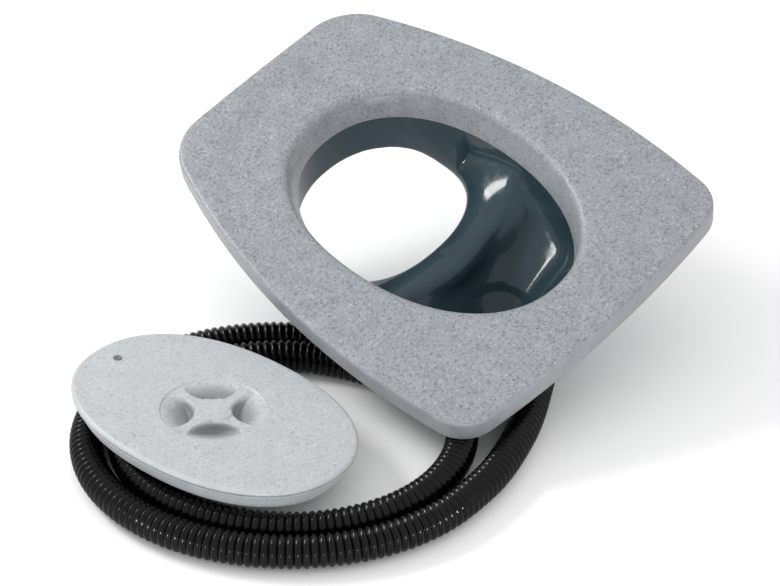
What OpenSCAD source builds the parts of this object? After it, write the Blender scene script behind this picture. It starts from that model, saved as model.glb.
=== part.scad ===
// Seat insert kit of a urine-diverting composting toilet: seat, separator, loose lid and drain hose.
// Millimetres, +Z up, floor at z = 0.

/* [Seat board] */
// Length of the seat between its front and rear edge lines
seat_l = 450; // [420:1:500]
// Width between the front corners
seat_front_w = 349; // [320:1:380]
// Width between the rear corners
seat_back_w = 235; // [220:1:280]
// How far the long sides bulge out
seat_side_bulge = 34; // [20:1:40]
// How far the front edge bulges out
seat_front_bulge = 13; // [6:1:20]
// Trim of each front corner
seat_front_corner = 27; // [20:1:40]
// Trim of each rear corner
seat_back_corner = 35; // [25:1:45]
// Thickness of the board at its edge
seat_t = 26.8; // [24:0.2:34]
// Depth of the shallow dish at the seat's rear
dish_depth = 3.2; // [0.5:0.1:4]
// Wall of the blow-moulded board and lid
shell_wall = 2.6; // [2:0.1:3.5]

/* [Opening] */
// Length of the opening in the seat
opening_l = 310; // [280:1:320]
// Width of the opening in the seat
opening_w = 217; // [190:1:230]
// Depth of the lip that hangs down round the opening, from the top
lip_depth = 35; // [30:0.5:42]
// How much the opening narrows on each side down to the lip's edge
lip_draft = 6; // [3:0.5:8]

/* [Separator] */
// Wall of the separator
sep_wall = 2.4; // [1.8:0.1:3.2]
// Width of the rear drop hole
drop_hole_w = 171; // [150:1:176]
// Length of the rear drop hole
drop_hole_l = 154; // [140:1:158]
// Depth of the drop hole below the seat's top
drop_hole_depth = 88; // [84:1:94]
// Radius of the partition's arc, seen from above
partition_r = 240; // [225:1:260]
// Depth of the middle of the partition's crest below the seat's top
crest_depth = 83; // [78:0.5:84]
// Radius of the front bowl's round bottom
bowl_r = 36; // [32:0.5:40]
// Depth of the middle of the bowl's bottom sphere below the seat's top
bowl_depth = 96.2; // [88:0.1:102]
// Number of screws in the separator's flange
screw_count = 8; // [6:2:10]

/* [Outlet] */
// Outer radius of the outlet spigot
spigot_r = 11; // [10:0.5:12]
// Bore radius of the outlet spigot and the elbow
spigot_bore_r = 8; // [6.5:0.5:8.5]
// Angle that the elbow turns through
elbow_turn = 58; // [52:1:64]
// Roll of the elbow about the spigot
elbow_roll = 22; // [16:0.5:26]

/* [Hose] */
// Outer radius of the hose over its ribs
hose_r = 15; // [14:0.1:15]
// Radius of the hose between its ribs
hose_valley_r = 13.4; // [13:0.1:13.6]
// Bore radius of the hose
hose_bore_r = 12; // [11.9:0.1:12.2]
// Distance from rib to rib
rib_pitch = 10.6; // [10.4:0.1:14]
// Distance between neighbouring turns of the coil
coil_step = 32.5; // [32:0.1:36]

/* [Lid] */
// Length of the lid
lid_l = 285.6; // [270:0.2:300]
// Width of the lid
lid_w = 191.4; // [180:0.2:204]
// Thickness of the lid's flange
lid_flange_t = 8; // [6:0.5:10]
// Height of the plug under the lid's flange
lid_plug_t = 14; // [12:0.5:14]
// Inset of the plug from the lid's edge
lid_plug_inset = 6; // [4:0.5:10]
// Radius of the sunk disc in the lid
grip_r = 47; // [44:0.5:50]
// Depth of the four finger hollows in it
grip_depth = 12; // [9:0.5:13]

/* [Hidden] */

touch = 0.05;
fit = 0.1;
through = 1;
round_fn = 96;

// Seat frame: x across, y to the rear, z up, with zero at the middle of the opening in the top face.
seat_x = 101;
seat_y = -14.4;
tilt_x = 10.98;
tilt_y = -17.27;
seat_front_y = -207.8;
seat_back_bulge = 2;
corner_weight = 0.75;
dish_y = 65;
dish_floor_r = 139;
dish_rim_r = 165;
dish_start_y = 20;
edge_band = 16;
land_t = 1.2;
bowl_y = -76;
rise_x = -sin(tilt_y);
rise_y = sin(tilt_x) * cos(tilt_y);
rise_z = cos(tilt_x) * cos(tilt_y);
seat_z = bowl_r - bowl_y * rise_y + bowl_depth * rise_z;

opening_power = 2.15;
opening_a = opening_l / 2;
opening_b = opening_w / 2;
opening_egg = 0.03;
lip_start = 8;
lip_wall = 3;
outline_points = 72;

drop_hole_y = 84;
drop_hole_power = 2.3;
drop_hole_egg = -0.08;
partition_front = -37;
partition_y = partition_front + partition_r;
partition_top_w = 13;
crest_rise = 20;
crest_points = [96, 87, 75, 55, 33];
wall_foot = 62;
bowl_foot = 41;
partition_end = 57;
flange_reach = 24;
flange_t = 2.5;

screw_line = 11;
insert_r = 3;
insert_l = 8;
screw_r = 2;
screw_l = 11;
screw_head_r = 3.8;
screw_head_h = 2.6;
washer_r = 4.6;
washer_t = 0.8;
boss_r = 6;

vent_y = 203;
vent_r = 5;
vent_rim_r = 8;
vent_rim_t = 1.2;

spigot_depth = 100;
spigot_end_y = -136;
elbow_y = -144;
elbow_leg = 12;
elbow_wall = 3;
elbow_gap = 0.3;
elbow_cap = 15;
exit_r = 13.6;
socket_mouth_y = -128.5;
barb_shoulder = 8;
barb_l = 26;
barb_r = hose_bore_r * cos(180 / 8) - 0.15;
o_ring_y = -131.5;
o_ring_section = 0.75;

hose_sides = 8;
hose_straight = 30;
hose_lift = 0.2;
hose_z = hose_r + hose_lift;
bore_ring_ribs = 2;
clip_width = 9;
clip_t = 0.8;
clip_along = 12;

lid_x = -192.3;
lid_y = -41.7;
lid_z = 52.2;
lid_turn = [1.49, 2.19, 7.89];
lid_power = 2.21;
lid_edge_r = 3;
grip_sink = 1.6;
lid_vent_y = 118;
lid_vent_r = 3;
lid_vent_cap_r = 4.2;

seat_grey = "#9ea2a6";
lid_grey = "#c3c8cb";
slate_plastic = "#33414a";
black_rubber = "#161616";
brass_tone = "#b08d4c";
steel_tone = "#b9bcc0";
grey_plastic = "#4a4c4e";

function superellipse(a, b, p, egg = 0, n = outline_points) =
    [for (i = [0:n - 1])
        let (t = 360 * i / n, c = cos(t), s = sin(t), y = a * sign(s) * pow(abs(s), 2 / p))
        [b * sign(c) * pow(abs(c), 2 / p) * (1 + egg * y / a), y]];

function unit(v) = v / norm(v);

// One bulged side from p to q, trimmed at both ends, as points on a shallow arc.
function side_point(p, q, bulge, t) =
    p + (q - p) * t + [(q - p)[1], -(q - p)[0]] / norm(q - p) * bulge * 4 * t * (1 - t);
function side(p, q, bulge, trim_p, trim_q, n) =
    let (d = norm(q - p), a = trim_p / d, b = 1 - trim_q / d)
    [for (i = [0:n]) side_point(p, q, bulge, a + (b - a) * i / n)];

// Rounded corner: a conic between the end of one side and the start of the next.
function corner(a, c, b, n) =
    [for (i = [1:n - 1])
        let (t = i / n, u = 2 * corner_weight * t * (1 - t))
        ((1 - t) * (1 - t) * a + u * c + t * t * b) / ((1 - t) * (1 - t) + u + t * t)];

// Seat outline, drawn in by inset.
function seat_outline(inset = 0) =
    let (f = seat_front_w / 2 - inset, r = seat_back_w / 2 - inset,
         y0 = seat_front_y + inset, y1 = seat_front_y + seat_l - inset,
         fl = [-f, y0], fr = [f, y0], br = [r, y1], bl = [-r, y1],
         front = side(fl, fr, seat_front_bulge, seat_front_corner, seat_front_corner, 10),
         right = side(fr, br, seat_side_bulge, seat_front_corner, seat_back_corner, 12),
         back = side(br, bl, seat_back_bulge, seat_back_corner, seat_back_corner, 4),
         left = side(bl, fl, seat_side_bulge, seat_back_corner, seat_front_corner, 12))
    concat(front, corner(front[10], fr, right[0], 6), right, corner(right[12], br, back[0], 6),
           back, corner(back[4], bl, left[0], 6), left, corner(left[12], fl, front[0], 6));

module in_seat() {
    translate([seat_x, seat_y, seat_z]) rotate([tilt_x, tilt_y, 0]) children();
}

module in_lid() {
    translate([lid_x, lid_y, lid_z]) rotate(lid_turn) children();
}

// Flat layer with its top at z.
module layer(points, z, t = 0.1) {
    translate([0, 0, z - t]) linear_extrude(t) polygon(points);
}

module opening_layer(z, grow = 0) {
    layer(superellipse(opening_a + grow, opening_b + grow, opening_power, opening_egg), z);
}

module opening_column(top, bottom, grow) {
    translate([0, 0, bottom])
        linear_extrude(top - bottom)
            polygon(superellipse(opening_a + grow, opening_b + grow, opening_power, opening_egg));
}

// Centres of the flange screws, on an oval outside the lip.
function screw_spots() =
    let (a = opening_a + screw_line, b = opening_b + screw_line, step = 360 / screw_count)
    [for (i = [0:screw_count - 1])
        let (t = step * (i + 0.5), p = 2 / opening_power, c = cos(t), s = sin(t))
        [b * sign(c) * pow(abs(c), p), a * sign(s) * pow(abs(s), p)]];

module at_screws() {
    for (p = screw_spots()) translate([p[0], p[1], -seat_t]) children();
}

module seat_outside() {
    hull() {
        layer(seat_outline(3.4), 0);
        layer(seat_outline(1), -1);
        layer(seat_outline(0), -3.4, seat_t - 8);
        layer(seat_outline(3.4), -seat_t + 0.1, 0.1);
    }
}

// Flat ring on the underside that lies on the bench, raised a little so that it stands clear of the flange.
module bench_land() {
    difference() {
        translate([0, 0, -seat_t - land_t])
            linear_extrude(land_t + touch)
                difference() {
                    polygon(seat_outline(edge_band));
                    polygon(superellipse(opening_a + flange_reach + 1, opening_b + flange_reach + 1,
                                         opening_power, opening_egg));
                }
        translate([0, vent_y, -seat_t - land_t - through])
            cylinder(r = vent_rim_r + 1, h = land_t + through, $fn = 48);
    }
}

// Shallow dish: a flat cone tipped so that it fades out beside the opening.
module dish() {
    tip = atan(dish_depth / (dish_y + dish_floor_r - dish_start_y));
    translate([0, dish_start_y, 0])
        rotate([-tip, 0, 0])
            translate([0, dish_y - dish_start_y, 0])
                cylinder(r1 = dish_floor_r, r2 = dish_rim_r + 3 * (dish_rim_r - dish_floor_r),
                         h = 4 * dish_depth, $fn = 144);
}

module seat_cavity() {
    difference() {
        hull() {
            layer(seat_outline(3.4 + shell_wall), -shell_wall - dish_depth);
            layer(seat_outline(shell_wall), -9);
            layer(seat_outline(2.5 + shell_wall), -seat_t + shell_wall);
        }
        opening_column(0, -seat_t, 13 + lip_wall);
        at_screws() cylinder(r = boss_r, h = seat_t, $fn = 32);
    }
}

module seat_opening() {
    hull() {
        opening_layer(-lip_start, 0);
        opening_layer(-lip_depth - through, -lip_draft);
    }
    hull() {
        opening_layer(-2.5, 4);
        opening_layer(-lip_start, 0);
    }
    hull() {
        opening_layer(through, 12);
        opening_layer(-2.5, 4);
    }
}

// Seat with a closed hollow inside, a lip round its opening and bosses for the screws.
module seat_board() {
    color(seat_grey)
        in_seat()
            difference() {
                union() {
                    seat_outside();
                    bench_land();
                    opening_column(-seat_t + through, -lip_depth, -1);
                }
                dish();
                seat_cavity();
                seat_opening();
                at_screws() translate([0, 0, -through])
                    cylinder(r = insert_r + touch, h = insert_l + 4 + through, $fn = 32);
                translate([0, vent_y, -seat_t - through])
                    cylinder(r = vent_r, h = shell_wall + 2 * through, $fn = 48);
            }
}

// Plug that closes the moulding hole under the seat's rear, sunk in the land.
module seat_vent_plug() {
    color(grey_plastic)
        in_seat()
            translate([0, vent_y, -seat_t]) {
                translate([0, 0, -vent_rim_t]) cylinder(r = vent_rim_r, h = vent_rim_t, $fn = 48);
                cylinder(r = vent_r - touch, h = shell_wall + 1.5, $fn = 48);
            }
}

// Threaded brass sleeves in the seat's bosses.
module seat_inserts() {
    color(brass_tone)
        in_seat()
            at_screws()
                difference() {
                    cylinder(r = insert_r, h = insert_l, $fn = 32);
                    translate([0, 0, -through])
                        cylinder(r = screw_r + touch, h = insert_l + 2 * through, $fn = 24);
                }
}

function drop_hole(grow) =
    superellipse(drop_hole_l / 2 + grow, drop_hole_w / 2 + grow, drop_hole_power, drop_hole_egg);

// Flat rim of the drop hole: its outline from h below the rim to up above it.
module drop_hole_rim(grow, h, up = 0) {
    translate([0, drop_hole_y, -drop_hole_depth - h])
        linear_extrude(h + up)
            polygon(drop_hole(grow));
}

module bowl_ball(grow) {
    translate([0, bowl_y, -bowl_depth]) sphere(r = bowl_r + grow, $fn = 48);
}

// Height of the partition's crest at x.
function crest_z(x) = -crest_depth + crest_rise * pow(x / 100, 4);

// Thin slab of the opening's outline in front of the partition's ends.
module front_slab(z, grow) {
    intersection() {
        opening_layer(z, grow);
        translate([-opening_w, -opening_l, z - 1]) cube([2 * opening_w, opening_l - 6, 2]);
    }
}

// Thin slab of the opening's outline behind an arc of radius r about the partition's centre.
module rear_slab(z, grow, r) {
    intersection() {
        opening_layer(z, grow);
        translate([0, partition_y, z - 1]) cylinder(r = r, h = 2, $fn = 2 * round_fn);
    }
}

// Slivers along an arc of radius r that step down from the crest's ends to its low middle.
module crest_slivers(r, drop) {
    for (x = crest_points)
        intersection() {
            translate([0, partition_y, crest_z(x) - drop]) cylinder(r = r, h = 0.1, $fn = 2 * round_fn);
            translate([-x, partition_y - r - 1, -2 * crest_depth]) cube([2 * x, 36, 2 * crest_depth]);
        }
}

module partition_drum(r) {
    foot = 2 * crest_depth;
    translate([0, partition_y, -foot]) cylinder(r = r, h = foot - bowl_foot + 4, $fn = 2 * round_fn);
}

module bowl_outside() {
    difference() {
        hull() {
            front_slab(-bowl_foot, sep_wall);
            bowl_ball(0);
        }
        partition_drum(partition_r - sep_wall);
    }
}

module bowl_hollow() {
    difference() {
        hull() {
            front_slab(-bowl_foot + 3, 0);
            bowl_ball(-sep_wall);
        }
        partition_drum(partition_r);
    }
}

module funnel_outside() {
    hull() {
        rear_slab(-wall_foot, sep_wall, partition_r - partition_top_w + sep_wall);
        crest_slivers(partition_r - partition_top_w + sep_wall, sep_wall);
        drop_hole_rim(sep_wall, 4);
    }
}

module funnel_hollow() {
    hull() {
        rear_slab(-wall_foot + 0.5, 0, partition_r - partition_top_w);
        crest_slivers(partition_r - partition_top_w, 0);
        drop_hole_rim(0, 0.1);
    }
    drop_hole_rim(0, 8, 1);
}

// Space above the crest: a curved profile in x and z, drawn out along the seat.
module above_crest(drop) {
    xs = [for (i = [-12:12]) i * 10];
    translate([0, 40, 0])
        rotate([90, 0, 0])
            linear_extrude(130)
                polygon(concat([for (x = xs) [x, crest_z(min(abs(x), 106)) - drop]], [[120, 0], [-120, 0]]));
}

// What is cut off over the partition, down to its dipping crest.
module crest_cut() {
    intersection() {
        opening_column(-bowl_foot + 3.5, -crest_depth - 1, 0);
        above_crest(0);
        difference() {
            partition_drum(partition_r);
            partition_drum(partition_r - partition_top_w - 2);
        }
    }
}

// The partition's wide top, between the funnel's front edge and the bowl's rear edge.
module partition_top() {
    intersection() {
        opening_column(-partition_end, -crest_depth - 5, 1);
        difference() {
            partition_drum(partition_r - 1);
            partition_drum(partition_r - partition_top_w - 1);
        }
        above_crest(sep_wall);
    }
}

module spigot_solid() {
    translate([0, bowl_y, -spigot_depth])
        rotate([90, 0, 0])
            cylinder(r = spigot_r, h = bowl_y - spigot_end_y, $fn = 64);
}

module spigot_bore() {
    translate([0, bowl_y, -spigot_depth])
        rotate([90, 0, 0])
            cylinder(r = spigot_bore_r, h = bowl_y - spigot_end_y + through, $fn = 64);
}

// Groove for the sealing ring, cut into the spigot.
module o_ring_groove() {
    translate([0, o_ring_y, -spigot_depth])
        rotate([90, 0, 0])
            difference() {
                cylinder(r = spigot_r + through, h = 2 * o_ring_section + fit, center = true, $fn = 64);
                cylinder(r = spigot_r - 2 * o_ring_section, h = 4, center = true, $fn = 64);
            }
}

module flange() {
    difference() {
        opening_column(-seat_t, -seat_t - flange_t, flange_reach);
        opening_column(0, -seat_t - flange_t - through, 0);
        at_screws() translate([0, 0, -flange_t - through])
            cylinder(r = screw_r + 0.3, h = flange_t + 2 * through, $fn = 32);
    }
}

// Wall that hangs from the flange round the seat's lip.
module collar() {
    difference() {
        opening_column(-seat_t - flange_t + touch, -wall_foot - 1, sep_wall);
        opening_column(0, -wall_foot - 1 - through, 0);
    }
}

// Slate moulding under the opening: flange, wall, rear funnel with the drop hole, partition and front bowl.
module separator() {
    color(slate_plastic)
        in_seat() {
            difference() {
                union() {
                    difference() {
                        union() {
                            bowl_outside();
                            funnel_outside();
                            spigot_solid();
                            partition_top();
                        }
                        bowl_hollow();
                        funnel_hollow();
                        crest_cut();
                    }
                    collar();
                    flange();
                }
                spigot_bore();
                o_ring_groove();
            }
        }
}

module separator_washers() {
    color(steel_tone)
        in_seat()
            at_screws()
                translate([0, 0, -flange_t - washer_t])
                    difference() {
                        cylinder(r = washer_r, h = washer_t, $fn = 32);
                        translate([0, 0, -through])
                            cylinder(r = screw_r + 0.15, h = washer_t + 2 * through, $fn = 32);
                    }
}

// Pan-head screws with a slot, up through washer, flange and insert.
module separator_screws() {
    color(steel_tone)
        in_seat()
            at_screws()
                translate([0, 0, -flange_t - washer_t]) {
                    difference() {
                        translate([0, 0, -screw_head_h])
                            cylinder(r = screw_head_r, h = screw_head_h, $fn = 32);
                        translate([-0.5, -screw_head_r, -screw_head_h - through])
                            cube([1, 2 * screw_head_r, through + 1.2]);
                    }
                    cylinder(r = screw_r, h = screw_l, $fn = 24);
                }
}

// Elbow frame: zero where the spigot's axis meets the hose's axis, spigot side towards +y.
module in_elbow() {
    in_seat()
        translate([0, elbow_y, -spigot_depth])
            rotate([0, elbow_roll, 0])
                children();
}

socket_bore_r = spigot_r + fit;
elbow_r = socket_bore_r + elbow_wall;

module on_exit() {
    rotate([0, 0, 90 - elbow_turn])
        translate([-elbow_leg, 0, 0])
            rotate([0, -90, 0])
                children();
}

module barb_body() {
    ridge = 0.6;
    rotate_extrude($fn = 64)
        polygon([[0, -elbow_leg], [exit_r, -elbow_leg], [exit_r, barb_shoulder],
                 [barb_r - ridge, barb_shoulder], [barb_r - ridge, 14], [barb_r, 14], [barb_r - ridge, 18],
                 [barb_r, 18], [barb_r - ridge, 22], [barb_r, 22],
                 [barb_r - 2 * ridge, barb_shoulder + barb_l], [0, barb_shoulder + barb_l]]);
}

// Elbow: a socket on the spigot, closed at its far end, and a ridged tail that the hose is pushed over.
module elbow() {
    color(grey_plastic)
        in_elbow()
            difference() {
                union() {
                    translate([0, -elbow_cap, 0])
                        rotate([-90, 0, 0])
                            cylinder(r = elbow_r, h = socket_mouth_y - elbow_y + elbow_cap, $fn = 64);
                    on_exit() barb_body();
                }
                translate([0, -elbow_cap + elbow_wall, 0])
                    rotate([-90, 0, 0])
                        cylinder(r = spigot_bore_r + 0.4, h = 40, $fn = 64);
                translate([0, spigot_end_y - elbow_y - elbow_gap, 0])
                    rotate([-90, 0, 0])
                        cylinder(r = socket_bore_r, h = 40, $fn = 64);
                on_exit()
                    translate([0, 0, -elbow_leg])
                        cylinder(r = spigot_bore_r, h = elbow_leg + barb_shoulder + barb_l + through, $fn = 64);
            }
}

module elbow_o_ring() {
    color(black_rubber)
        in_seat()
            translate([0, o_ring_y, -spigot_depth])
                rotate([90, 0, 0])
                    rotate_extrude($fn = 64)
                        translate([spigot_r - o_ring_section + 0.03, 0]) circle(r = o_ring_section, $fn = 24);
}

// The elbow's exit in the floor frame: the hose's first point and heading.
function turn_x(v, a) = [v[0], v[1] * cos(a) - v[2] * sin(a), v[1] * sin(a) + v[2] * cos(a)];
function turn_y(v, a) = [v[0] * cos(a) + v[2] * sin(a), v[1], -v[0] * sin(a) + v[2] * cos(a)];
function from_seat(v) = turn_y(turn_x(v, tilt_x), tilt_y);
function from_elbow(v) = from_seat([0, elbow_y, -spigot_depth] + turn_y(v, elbow_roll));

exit_axis = [-sin(elbow_turn), -cos(elbow_turn), 0];
exit_heading = from_seat(turn_y(exit_axis, elbow_roll));
exit_point = [seat_x, seat_y, seat_z] + from_elbow(exit_axis * (elbow_leg + barb_shoulder));

// Coil: an oval spiral that winds inwards, clockwise from above. a is the angle round its middle.
coil_x = -137.4;
coil_y = -72.8;
coil_r = 181;
coil_oval = 0.048;
coil_oval_turn = 40.3;
coil_start = -75;
coil_end = -700;
function coil_radius(a) =
    (coil_r + coil_step * (a + 90) / 360) * (1 - coil_oval * cos(2 * (a - coil_oval_turn)));
function coil_point(a) = [coil_x + coil_radius(a) * cos(a), coil_y + coil_radius(a) * sin(a), hose_z];
function coil_heading(a) = unit(coil_point(a - 0.5) - coil_point(a + 0.5));

// Route of the hose from the elbow to the coil, along the floor.
tail_route = [[64, -189.5, 16.8], [46, -201.5, hose_z], [28, -212.5, hose_z], [9, -222.5, hose_z],
              [-10, -231.5, hose_z], [-29, -239.5, hose_z], [-49, -246.3, hose_z], [-69, -250.8, hose_z]];

function catmull(a, b, c, d, t) =
    0.5 * (2 * b + (c - a) * t + (2 * a - 5 * b + 4 * c - d) * t * t + (3 * b - a - 3 * c + d) * t * t * t);
function spline(points, per) =
    concat([for (i = [1:len(points) - 3], j = [0:per - 1])
               catmull(points[i - 1], points[i], points[i + 1], points[i + 2], j / per)],
           [points[len(points) - 2]]);

tail_knots = concat([exit_point - exit_heading * 20, exit_point, exit_point + exit_heading * hose_straight],
                    tail_route,
                    [coil_point(coil_start), coil_point(coil_start - 6)]);
tail_path = spline(tail_knots, 8);
coil_path = concat([for (a = [coil_start:-2:coil_end]) coil_point(a)],
                   [coil_point(coil_end) + coil_heading(coil_end) * hose_straight]);

// Distances along a path, and the point at a distance.
function run(path, i = 0, sum = 0, out = []) =
    i == len(path) ? out
    : let (s = i == 0 ? 0 : sum + norm(path[i] - path[i - 1])) run(path, i + 1, s, concat(out, [s]));
function find_span(dist, s, lo, hi) =
    hi - lo <= 1 ? lo
    : let (mid = floor((lo + hi) / 2)) dist[mid] <= s ? find_span(dist, s, mid, hi) : find_span(dist, s, lo, mid);
function at_distance(path, dist, s) =
    let (i = find_span(dist, s, 0, len(path) - 1), t = (s - dist[i]) / (dist[i + 1] - dist[i]))
    path[i] + (path[i + 1] - path[i]) * t;

// Rings of a tube: each row of [distance, radius] gives one ring, square to the path there.
function ring(path, dist, s, r, sides, first, last) =
    let (reach = 2,
         length = dist[len(dist) - 1],
         a = at_distance(path, dist, max(s - reach, 0)),
         b = at_distance(path, dist, min(s + reach, length - 0.001)),
         ahead = s < reach && len(first) == 3 ? first : s > length - reach && len(last) == 3 ? last : unit(b - a),
         out = unit(cross(ahead, [0, 0, 1])),
         up = cross(out, ahead),
         c = at_distance(path, dist, min(max(s, 0), length)))
    [for (k = [0:sides - 1]) c + r * (cos(360 * k / sides) * out + sin(360 * k / sides) * up)];

function flat(rows) = [for (row = rows) for (p = row) p];

// Side faces between successive rings; flip turns them to face the bore.
function tube_faces(rings, sides, start, flip) =
    [for (i = [0:rings - 2], k = [0:sides - 1])
        let (a = start + i * sides + k, b = start + i * sides + (k + 1) % sides, c = a + sides, d = b + sides)
        for (f = flip ? [[a, b, d], [a, d, c]] : [[a, d, b], [a, c, d]]) f];

// End faces between the outer and inner ring.
function end_faces(outer, inner, sides, flip) =
    [for (k = [0:sides - 1])
        let (a = outer + k, b = outer + (k + 1) % sides, c = inner + k, d = inner + (k + 1) % sides)
        for (f = flip ? [[a, d, c], [a, b, d]] : [[a, c, d], [a, d, b]]) f];

// Ribbed tube with a bore along a path: two rings to a rib, one ring of the bore to every two ribs.
module ribbed_hose(path, first, last) {
    dist = run(path);
    length = dist[len(dist) - 1];
    ribs = 2 * round(length / rib_pitch / 2);
    pitch = length / ribs;
    outer = concat([ring(path, dist, 0, hose_valley_r, hose_sides, first, last)],
                   [for (i = [0:ribs - 1], j = [0, 1])
                       ring(path, dist, (i + 0.5 + j / 2) * pitch, j == 0 ? hose_r : hose_valley_r,
                            hose_sides, first, last)]);
    bore_rings = ribs / bore_ring_ribs;
    inner = [for (i = [0:bore_rings])
                ring(path, dist, i * bore_ring_ribs * pitch, hose_bore_r, hose_sides, first, last)];
    offset_inner = len(outer) * hose_sides;
    polyhedron(
        points = flat(concat(outer, inner)),
        faces = concat(
            tube_faces(len(outer), hose_sides, 0, true),
            tube_faces(len(inner), hose_sides, offset_inner, false),
            end_faces(0, offset_inner, hose_sides, false),
            end_faces((len(outer) - 1) * hose_sides, offset_inner + (len(inner) - 1) * hose_sides,
                      hose_sides, true)),
        convexity = 10);
}

module hose_tail() {
    color(black_rubber) ribbed_hose(tail_path, exit_heading, coil_heading(coil_start));
}

module hose_coil() {
    color(black_rubber) ribbed_hose(coil_path, coil_heading(coil_start), coil_heading(coil_end));
}

// Floor frame to the hose's end: zero on the elbow's shoulder, +z along the hose.
module on_hose_end() {
    in_elbow() on_exit() translate([0, 0, barb_shoulder]) children();
}

// Steel band round the hose's end, with the housing of its worm screw.
module hose_clip() {
    housing = [9, 12, 6];
    color(steel_tone)
        on_hose_end()
            translate([0, 0, clip_along])
                difference() {
                    union() {
                        cylinder(r = hose_r + fit + clip_t, h = clip_width, $fn = 64);
                        translate([hose_r + fit, -housing[1] / 2, 0])
                            cube([housing[2], housing[1], housing[0]]);
                    }
                    translate([0, 0, -through])
                        cylinder(r = hose_r + fit, h = clip_width + 2 * through, $fn = 64);
                    translate([hose_r + fit + 3.6, -housing[1], housing[0] / 2])
                        rotate([-90, 0, 0])
                            cylinder(r = 1.9, h = 2 * housing[1], $fn = 24);
                }
}

module hose_clip_screw() {
    color(steel_tone)
        on_hose_end()
            translate([hose_r + fit + 3.6, 0, clip_along + 4.5])
                rotate([-90, 0, 0]) {
                    translate([0, 0, -6.5]) cylinder(r = 1.8, h = 13, $fn = 24);
                    difference() {
                        translate([0, 0, 6.5]) cylinder(r = 3.2, h = 3.2, $fn = 6);
                        translate([-0.5, -4, 8.5]) cube([1, 8, 2]);
                    }
                }
}

function lid_outline(inset) = superellipse(lid_l / 2 - inset, lid_w / 2 - inset, lid_power);

// Sunk disc with four round-sided hollows that leave a hub and a cross of spokes.
module finger_hollows() {
    hollow_spot = 41;
    hollow_r = 23;
    translate([0, 0, -grip_sink]) cylinder(r = grip_r, h = grip_sink + through, $fn = round_fn);
    intersection() {
        translate([0, 0, -grip_depth]) cylinder(r = grip_r - 1, h = grip_depth, $fn = round_fn);
        for (turn = [45, 135, 225, 315])
            rotate([0, 0, turn])
                translate([hollow_spot, 0, -grip_depth])
                    cylinder(r1 = hollow_r - 7, r2 = hollow_r + 0.5, h = grip_depth, $fn = 64);
    }
}

// Lid: flange, groove and plug, hollow inside, with four finger hollows round a cross.
module lid_shell() {
    groove = 1;
    plug_top = -lid_flange_t - groove;
    bottom = -lid_flange_t - lid_plug_t;
    color(lid_grey)
        in_lid()
            difference() {
                union() {
                    hull() {
                        layer(lid_outline(lid_edge_r), 0);
                        layer(lid_outline(0.8), -1.2);
                        layer(lid_outline(0), -lid_edge_r, lid_flange_t - lid_edge_r - 2);
                        layer(lid_outline(2), -lid_flange_t + 0.1, 0.1);
                    }
                    translate([0, 0, plug_top - 0.01])
                        linear_extrude(groove + 0.02) polygon(lid_outline(lid_plug_inset + 1.2));
                    hull() {
                        layer(lid_outline(lid_plug_inset), plug_top);
                        layer(lid_outline(lid_plug_inset + 1), bottom + 2);
                        layer(lid_outline(lid_plug_inset + 3), bottom + 0.1);
                    }
                }
                difference() {
                    layer(lid_outline(lid_plug_inset + shell_wall + 2), -shell_wall,
                          -bottom - 2 * shell_wall);
                    cylinder(r = grip_r + shell_wall, h = 60, center = true, $fn = round_fn);
                }
                finger_hollows();
                translate([0, lid_vent_y, -shell_wall - through])
                    cylinder(r = lid_vent_r, h = shell_wall + 3 * through, $fn = 32);
            }
}

// Small plug in the lid's moulding hole, near one end.
module lid_vent_plug() {
    color(lid_grey)
        in_lid()
            translate([0, lid_vent_y, 0]) {
                cylinder(r = lid_vent_cap_r, h = 0.8, $fn = 32);
                translate([0, 0, -shell_wall - 0.5])
                    cylinder(r = lid_vent_r - touch, h = shell_wall + 0.6, $fn = 32);
            }
}

// Lengths of hose, its least gap to itself and its tightest bend, from points on the route.
hose_length = run(tail_path)[len(tail_path) - 1] + run(coil_path)[len(coil_path) - 1];
coil_gaps = [for (a = [coil_start - 360:-3:coil_end])
    min([for (b = [a + 330:1.5:min(a + 390, coil_start)])
        norm(coil_point(a) - coil_point(b))]) - 2 * hose_r];
echo(str("hose length ", hose_length, " mm, least gap of the hose to itself ", min(coil_gaps), " mm"));
echo(str("ribs ", 2 * round(run(tail_path)[len(tail_path) - 1] / rib_pitch / 2)
         + 2 * round(run(coil_path)[len(coil_path) - 1] / rib_pitch / 2)));
echo(str("hose starts at ", exit_point, " heading ", exit_heading, ", seat height ", seat_z));

seat_board();
seat_vent_plug();
seat_inserts();
separator();
separator_washers();
separator_screws();
elbow();
elbow_o_ring();
hose_clip();
hose_clip_screw();
hose_tail();
hose_coil();
lid_shell();
lid_vent_plug();
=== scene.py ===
import math

import bmesh
import bpy
import numpy as np
import openvdb
from mathutils import Matrix, Vector


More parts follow.
